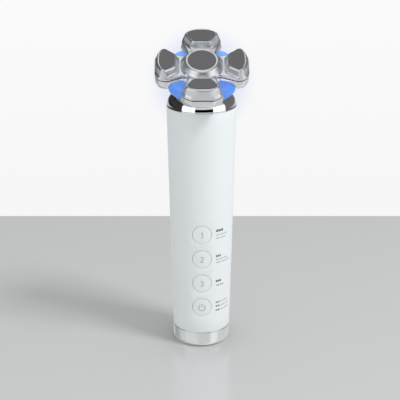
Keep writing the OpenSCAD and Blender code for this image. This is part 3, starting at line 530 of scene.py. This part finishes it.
for tone, material in (("dark", printDark), ("pale", printPale)):
    strips = []
    for row in marks[tone]:
        for piece in row["pieces"]:
            strips.append(([(math.radians(angle) * marks["middleR"], row["z"]) for angle in piece], row["high"]))
    printOn(tone + "HandlePrint", strips, material, "handle")
for node, (sign, z) in caps.items():
    size = figure["powerHigh" if sign == "power" else "high"] / 2
    drawn = [[((x - 0.5) * size, z + (y - 1) * size) for x, y in stroke] for stroke in digits[sign]]
    printOn(node + "Figure", [(line, figure["stroke"]) for line in drawn], printPale, node + "_press")
print("marks printed")

# soft edges on the CAD nodes that stay: width in mm and the least angle that counts as an edge
softEdges = {
    "handle_shell": (0.15, 40), "base_cap": (0.15, 40),
    "power_button": (0.25, 50), "button_1": (0.25, 50), "button_2": (0.25, 50), "button_3": (0.25, 50),
    "electrode_front": (0.3, 40), "electrode_back": (0.3, 40),
    "electrode_left": (0.3, 40), "electrode_right": (0.3, 40), "electrode_center": (0.12, 60),
}
for name, (width, angle) in softEdges.items():
    piece = nodes[name]
    weld = piece.modifiers.new("joinSplitEdges", "WELD")
    weld.merge_threshold = 0.002 * mm
    bevel = piece.modifiers.new("softEdge", "BEVEL")
    bevel.width = width * mm
    bevel.segments = 3
    bevel.limit_method = "ANGLE"
    bevel.angle_limit = math.radians(angle)
    bevel.use_clamp_overlap = True
    bevel.harden_normals = False

# the camera stands a little above the object and looks down on it: lengths in mm, angles in degrees
lens = {"focal": 103.5, "sensor": 36, "near": 10.0, "elevation": 20.1, "distance": 709.0, "aimZ": 92.5,
        "shiftX": -0.9, "orbit": -1.0}
slope = math.radians(lens["elevation"])
camera = bpy.data.objects.new("camera", bpy.data.cameras.new("camera"))
camera.data.lens = lens["focal"]
camera.data.sensor_width = lens["sensor"]
camera.data.clip_start = lens["near"] * mm
orbit = math.radians(lens["orbit"])
camera.location = Matrix.Rotation(orbit, 3, "Z") @ Vector((
    lens["shiftX"], -lens["distance"] * math.cos(slope), lens["aimZ"] + lens["distance"] * math.sin(slope),
)) * mm
camera.rotation_euler = (math.radians(90) - slope, 0, orbit)
bpy.context.scene.collection.objects.link(camera)
bpy.context.scene.camera = camera
bpy.context.scene.view_settings.view_transform = "Standard"

# the table ends behind the object, where the white wall begins: lengths in m
table = {"backY": 0.2146, "frontY": -1.2, "halfWidth": 1.4, "color": "#bcbebe", "rough": 0.18}
stone = {"Base Color": toLinear(table["color"]), "Roughness": table["rough"]}
tableMaterial = newMaterial("palePolishedStone", stone)[0]  # a faint blurred mirror of the handle
mesh = bpy.data.meshes.new("table")
w, a, b = table["halfWidth"], table["frontY"], table["backY"]
mesh.from_pydata([(-w, a, 0), (w, a, 0), (w, b, 0), (-w, b, 0)], [], [(0, 1, 2, 3)])
mesh.materials.append(tableMaterial)
floor = bpy.data.objects.new("table", mesh)
floor.rotation_euler = (0, 0, orbit)
floor.visible_glossy = False  # the world's lower half stands in for it in the metals
bpy.context.scene.collection.objects.link(floor)

# the studio, by azimuth (0 front, 90 right), elevation and angle off the middle plane, in degrees:
# "soft" is what lights the object and "mirror" is what the metals show, as added steps over a base
studio = {
    "soft": {"base": 0.88, "boxes": []},
    "mirror": {"base": 0.62, "boxes": [
        {"az": (-158, -68), "el": (-7, 30), "edge": 3, "value": -0.58},  # dark wall on the left
        {"az": (84, 158), "el": (-7, 30), "edge": 3, "value": -0.46},  # grey wall on the right
        {"across": (-90, -20), "el": (30, 100), "edge": 5, "value": -0.5},  # dim ceiling on both sides
        {"across": (20, 90), "el": (30, 100), "edge": 5, "value": -0.44},
        {"az": (-68, -22), "el": (-10, 18), "edge": 2, "value": 0.75},  # two white panels in front
        {"az": (37, 84), "el": (-10, 18), "edge": 2, "value": 0.75},
        {"az": (-22, 37), "el": (-10, 8), "edge": 2, "value": -1.5},  # a black card between them
        {"az": (-22, 37), "el": (8, 20), "edge": 2, "value": 0.15},  # and a pale strip over it
        {"across": (-17, 17), "el": (35, 100), "edge": 6, "value": 0.36},  # bright band overhead
        {"az": (158, 200), "el": (6, 40), "edge": 6, "value": -0.5},  # dark back, in two halves
        {"az": (-200, -158), "el": (6, 40), "edge": 6, "value": -0.5},
        {"az": (-200, 200), "el": (-100, -12), "edge": 2, "value": 0.03},  # the table all round
        {"az": (-148, -104), "el": (-90, -12), "edge": 16, "value": -0.26},  # the shadow on it
        {"az": (-72, -18), "el": (-90, -12), "edge": 3, "value": 0.075},  # paler stretches of it
        {"az": (37, 70), "el": (-90, -12), "edge": 3, "value": 0.235},
        {"az": (70, 200), "el": (-90, -12), "edge": 3, "value": 0.03},
    ]},
}
world = bpy.data.worlds.new("studio")
bpy.context.scene.world = world
world.use_nodes = True
tree = world.node_tree
tree.nodes.clear()
ray = addNode(tree, "ShaderNodeLightPath")
place = addNode(tree, "ShaderNodeTexCoord")
split = addNode(tree, "ShaderNodeSeparateXYZ", None, {"Vector": place.outputs["Generated"]})
times, plus = {"operation": "MULTIPLY"}, {"operation": "ADD"}
front = addNode(tree, "ShaderNodeMath", times, {0: split.outputs["Y"], 1: -1.0}).outputs[0]
azimuth = addNode(tree, "ShaderNodeMath", {"operation": "ARCTAN2"}, {0: split.outputs["X"], 1: front}).outputs[0]
azimuth = addNode(tree, "ShaderNodeMath", times, {0: azimuth, 1: 180 / math.pi}).outputs[0]
elevation = addNode(tree, "ShaderNodeMath", {"operation": "ARCSINE"}, {0: split.outputs["Z"]}).outputs[0]
elevation = addNode(tree, "ShaderNodeMath", times, {0: elevation, 1: 180 / math.pi}).outputs[0]
across = addNode(tree, "ShaderNodeMath", {"operation": "ARCSINE"}, {0: split.outputs["X"]}).outputs[0]
across = addNode(tree, "ShaderNodeMath", times, {0: across, 1: 180 / math.pi}).outputs[0]
ways = {"az": azimuth, "el": elevation, "across": across}


def smoothGate(value, low, high, edge):  # 1 between low and high, with soft edges
    rise = addNode(tree, "ShaderNodeMapRange", {"interpolation_type": "SMOOTHSTEP"}, {
        "Value": value, "From Min": low - edge, "From Max": low + edge, "To Min": 0.0, "To Max": 1.0,
    })
    fall = addNode(tree, "ShaderNodeMapRange", {"interpolation_type": "SMOOTHSTEP"}, {
        "Value": value, "From Min": high - edge, "From Max": high + edge, "To Min": 1.0, "To Max": 0.0,
    })
    return addNode(tree, "ShaderNodeMath", times, {0: rise.outputs["Result"], 1: fall.outputs["Result"]}).outputs[0]


def lightBoxes(part):  # the base and all its boxes as one value, never below black
    total = part["base"]
    for box in part["boxes"]:
        sides = [smoothGate(way, *box[key], box["edge"]) for key, way in ways.items() if key in box]
        gate = addNode(tree, "ShaderNodeMath", times, {0: sides[0], 1: sides[1]}).outputs[0]
        gate = addNode(tree, "ShaderNodeMath", times, {0: gate, 1: box["value"]}).outputs[0]
        total = addNode(tree, "ShaderNodeMath", plus, {0: gate, 1: total}).outputs[0]
    return addNode(tree, "ShaderNodeMath", {"operation": "MAXIMUM"}, {0: total, 1: 0.0}).outputs[0]


# what the camera sees past the table: a white wall, a little darker low down, with a faint blue halo round the head
backdrop = {"low": -20.0, "high": -4.0, "lowTone": 0.925, "highTone": 0.985,
            "haloAt": (0, -0.008, 0.17), "haloSpread": 2.9, "haloColor": "#dfe7ff"}
wall = addNode(tree, "ShaderNodeMapRange", None, {
    "Value": elevation, "From Min": backdrop["low"], "From Max": backdrop["high"],
    "To Min": backdrop["lowTone"], "To Max": backdrop["highTone"],
})
unseen = addNode(tree, "ShaderNodeMix", {"data_type": "FLOAT"}, {
    "Factor": ray.outputs["Is Glossy Ray"], "A": lightBoxes(studio["soft"]), "B": lightBoxes(studio["mirror"]),
})
seen = addNode(tree, "ShaderNodeMix", {"data_type": "FLOAT"}, {
    "Factor": ray.outputs["Is Camera Ray"], "A": unseen.outputs["Result"], "B": wall.outputs["Result"],
})
toHalo = (Vector(backdrop["haloAt"]) - camera.location).normalized()
near = addNode(tree, "ShaderNodeVectorMath", {"operation": "DOT_PRODUCT"}, {0: place.outputs["Generated"], 1: toHalo})
halo = addNode(tree, "ShaderNodeMapRange", {"interpolation_type": "SMOOTHSTEP"}, {
    "Value": near.outputs["Value"], "From Min": math.cos(math.radians(backdrop["haloSpread"])), "From Max": 1.0,
    "To Min": 0.0, "To Max": 1.0,
})
halo = addNode(tree, "ShaderNodeMath", times, {0: halo.outputs["Result"], 1: ray.outputs["Is Camera Ray"]})
tint = addNode(tree, "ShaderNodeMix", {"data_type": "RGBA"})
colors = [item for item in tint.inputs if item.type == "RGBA"]
colors[0].default_value, colors[1].default_value = (1, 1, 1, 1), toLinear(backdrop["haloColor"])
tree.links.new(halo.outputs[0], tint.inputs["Factor"])
back = addNode(tree, "ShaderNodeBackground", None, {
    "Color": next(item for item in tint.outputs if item.type == "RGBA"), "Strength": seen.outputs["Result"],
})
addNode(tree, "ShaderNodeOutputWorld", None, {"Surface": back.outputs["Background"]})

# the key light stands to the right and throws the soft shadow to the left: lengths in m, power in W
softbox = {"at": (1.085, -0.68, 1.83), "aim": (0, 0, 0.1), "size": 0.5, "power": 23.0}
lampData = bpy.data.lights.new("rightSoftbox", "AREA")
lampData.shape = "RECTANGLE"
lampData.size = lampData.size_y = softbox["size"]
lampData.energy = softbox["power"]
lamp = bpy.data.objects.new("rightSoftbox", lampData)
lamp.location = softbox["at"]
lamp.rotation_euler = (Vector(softbox["aim"]) - lamp.location).to_track_quat("-Z", "Y").to_euler()
lamp.visible_glossy = False  # the mirror world has its own boxes
bpy.context.scene.collection.objects.link(lamp)
print("camera, table and lights set")
